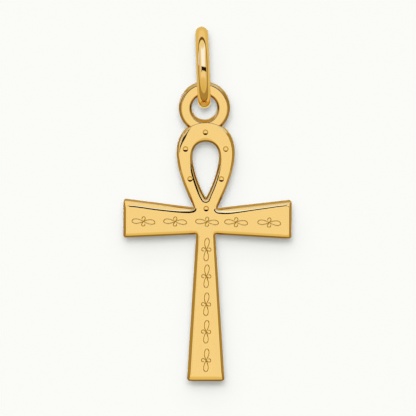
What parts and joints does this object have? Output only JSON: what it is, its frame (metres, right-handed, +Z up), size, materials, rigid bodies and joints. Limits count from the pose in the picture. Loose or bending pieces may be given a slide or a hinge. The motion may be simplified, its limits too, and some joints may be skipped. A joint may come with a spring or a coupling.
{
  "type": "ankh pendant with jump ring",
  "caption": "Flat ankh pendant with a teardrop loop, flared arms and stem, engraved scrolls, and a round jump ring through its hang loop.",
  "frame": {"origin": "top of the jump ring's opening, where the chain that carries the pendant lies", "axes": "+Z up along the hanging pendant, front face towards -Y, +X to the right seen from the front"},
  "size_m": [0.0128, 0.0062, 0.0272],
  "materials": {
    "ring_gold": "high polish yellow gold",
    "pendant_gold": "high polish yellow gold, hand engraved"
  },
  "bodies": {
    "ring": {"jump_ring": "ring_gold"},
    "pendant": {"ankh": "pendant_gold"}
  },
  "joints": [
    {"name": "pendant_swing", "type": "hinge", "parent": "ring", "child": "pendant", "pos_m": [0.00018, 0, -0.00475], "axis": [0, 1, 0], "range_deg": [-145, 145]}
  ]
}
